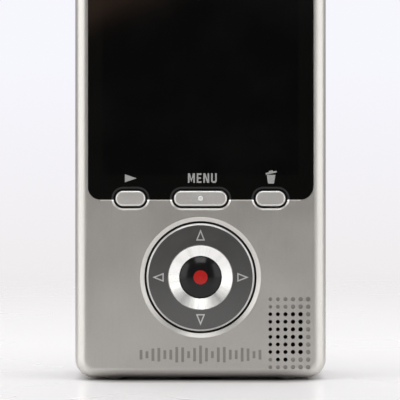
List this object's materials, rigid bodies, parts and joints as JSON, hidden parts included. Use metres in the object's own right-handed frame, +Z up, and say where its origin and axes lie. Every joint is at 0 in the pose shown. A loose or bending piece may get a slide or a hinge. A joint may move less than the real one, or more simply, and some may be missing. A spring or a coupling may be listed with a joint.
{
  "type": "portable field recorder",
  "caption": "Hand-held field recorder with a portrait display, round control pad, side doors, battery cover, lens and stereo microphone head.",
  "frame": {"origin": "on the surface it stands on, under the middle of the recorder", "axes": "+X to the right seen from the front, +Y out of the back, +Z up; the front faces -Y"},
  "size_m": [0.0512, 0.031, 0.134],
  "materials": {
    "silver_paint": "satin silver paint over moulded plastic",
    "silver_door": "satin silver paint over moulded plastic",
    "window_black": "polished black acrylic, nearly opaque",
    "display_glass": "dark liquid-crystal panel",
    "key_silver": "satin silver key cap",
    "pad_gunmetal": "dark satin gunmetal paint",
    "pad_ring_metal": "spun and polished",
    "record_black": "polished black",
    "record_red": "polished red",
    "black_plastic": "fine matt texture",
    "rubber_dark": "moulded silicone",
    "circuit_board": "green solder mask",
    "chip_black": "moulded epoxy",
    "steel_part": "bright",
    "spring_steel": "nickel plated",
    "brass_bush": "machined",
    "speaker_cloth": "woven dust cloth",
    "speaker_cone": "thin film cone",
    "cell_jacket": "printed film jacket",
    "mic_frame_metal": "satin anodised",
    "mic_mesh": "woven wire mesh",
    "mic_capsule": "turned can",
    "lens_glass": "coated glass",
    "card_plastic": "matt",
    "bezel_black": "satin black"
  },
  "bodies": {
    "case": {"av_socket": "black_plastic", "battery_contacts": "spring_steel", "battery_left": "cell_jacket", "battery_right": "cell_jacket", "battery_springs": "spring_steel", "battery_tray": "black_plastic", "board_chips": "chip_black", "card_door_pin": "steel_part", "card_socket": "steel_part", "case_screws": "steel_part", "cover_pin": "steel_part", "display_window": "window_black", "dome_switches": "spring_steel", "feet": "rubber_dark", "front_shell": "silver_paint", "gain_switch_base": "steel_part", "headphone_jack": "black_plastic", "key_board": "circuit_board", "keypad_membrane": "rubber_dark", "lcd_frame": "steel_part", "lcd_panel": "display_glass", "lens_barrel": "bezel_black", "lens_bezel": "bezel_black", "lens_glass": "lens_glass", "line_in_jack": "black_plastic", "main_board": "circuit_board", "mic_base": "black_plastic", "mic_capsule_left": "mic_capsule", "mic_capsule_right": "mic_capsule", "mic_frame": "mic_frame_metal", "mic_grille_front": "mic_mesh", "mic_grille_rear": "mic_mesh", "mic_holder": "rubber_dark", "pad_carrier": "black_plastic", "port_cover_pin": "steel_part", "power_switch_base": "steel_part", "rear_shell": "silver_paint", "rocker_pin": "steel_part", "sensor_board": "circuit_board", "speaker_cloth": "speaker_cloth", "speaker_cone": "speaker_cone", "speaker_frame": "black_plastic", "tripod_bush": "brass_bush", "usb_socket": "steel_part", "volume_switches": "black_plastic"},
    "play_key": {"play_button": "key_silver"},
    "menu_key": {"menu_button": "key_silver"},
    "delete_key": {"delete_button": "key_silver"},
    "pad_rocker": {"pad_gimbal": "black_plastic"},
    "pad": {"direction_pad": "pad_gunmetal", "pad_ring": "pad_ring_metal"},
    "record_key": {"record_button": "record_black", "record_dot": "record_red"},
    "power_knob": {"power_switch": "black_plastic"},
    "gain_knob": {"mic_gain_switch": "black_plastic"},
    "volume_key": {"volume_rocker": "black_plastic"},
    "rear_cover": {"battery_cover": "silver_door"},
    "card_flap": {"card_door": "silver_door"},
    "port_flap": {"port_cover": "silver_door"},
    "card": {"memory_card": "card_plastic"}
  },
  "joints": [
    {"name": "play_press", "type": "slide", "parent": "case", "child": "play_key", "axis": [0, 1, 0], "range_m": [0, 0.00035], "stiffness_N_per_m": 3000, "springref_m": -0.0001},
    {"name": "menu_press", "type": "slide", "parent": "case", "child": "menu_key", "axis": [0, 1, 0], "range_m": [0, 0.00035], "stiffness_N_per_m": 3000, "springref_m": -0.0001},
    {"name": "delete_press", "type": "slide", "parent": "case", "child": "delete_key", "axis": [0, 1, 0], "range_m": [0, 0.00035], "stiffness_N_per_m": 3000, "springref_m": -0.0001},
    {"name": "record_press", "type": "slide", "parent": "case", "child": "record_key", "axis": [0, 1, 0], "range_m": [0, 0.0004], "stiffness_N_per_m": 3000, "springref_m": -0.0001},
    {"name": "pad_up_down", "type": "hinge", "parent": "case", "child": "pad_rocker", "pos_m": [0, -0.0121, 0.02046], "axis": [1, 0, 0], "range_deg": [-2, 2], "stiffness_Nm_per_rad": 0.35},
    {"name": "pad_left_right", "type": "hinge", "parent": "pad_rocker", "child": "pad", "pos_m": [0, -0.0121, 0.02046], "axis": [0, 0, 1], "range_deg": [-2, 2], "stiffness_Nm_per_rad": 0.35},
    {"name": "power_slide", "type": "slide", "parent": "case", "child": "power_knob", "axis": [0, 0, 1], "range_m": [-0.003, 0.003]},
    {"name": "gain_slide", "type": "slide", "parent": "case", "child": "gain_knob", "axis": [0, 0, 1], "range_m": [-0.002, 0.002]},
    {"name": "volume_rock", "type": "hinge", "parent": "case", "child": "volume_key", "pos_m": [-0.0235, -0.0053, 0.084], "axis": [0, 1, 0], "range_deg": [-3, 3], "stiffness_Nm_per_rad": 0.12},
    {"name": "battery_cover_swing", "type": "hinge", "parent": "case", "child": "rear_cover", "pos_m": [0, 0.0126, 0.0044], "axis": [-1, 0, 0], "range_deg": [0, 90]},
    {"name": "card_door_swing", "type": "hinge", "parent": "case", "child": "card_flap", "pos_m": [0.0241, -0.0024, 0.038], "axis": [0, 0, 1], "range_deg": [0, 90]},
    {"name": "port_cover_swing", "type": "hinge", "parent": "case", "child": "port_flap", "pos_m": [-0.0241, -0.0024, 0.041], "axis": [0, 0, -1], "range_deg": [0, 90]},
    {"name": "card_push", "type": "slide", "parent": "case", "child": "card", "axis": [-1, 0, 0], "range_m": [0, 0.0008], "stiffness_N_per_m": 1500, "springref_m": -0.0002}
  ]
}
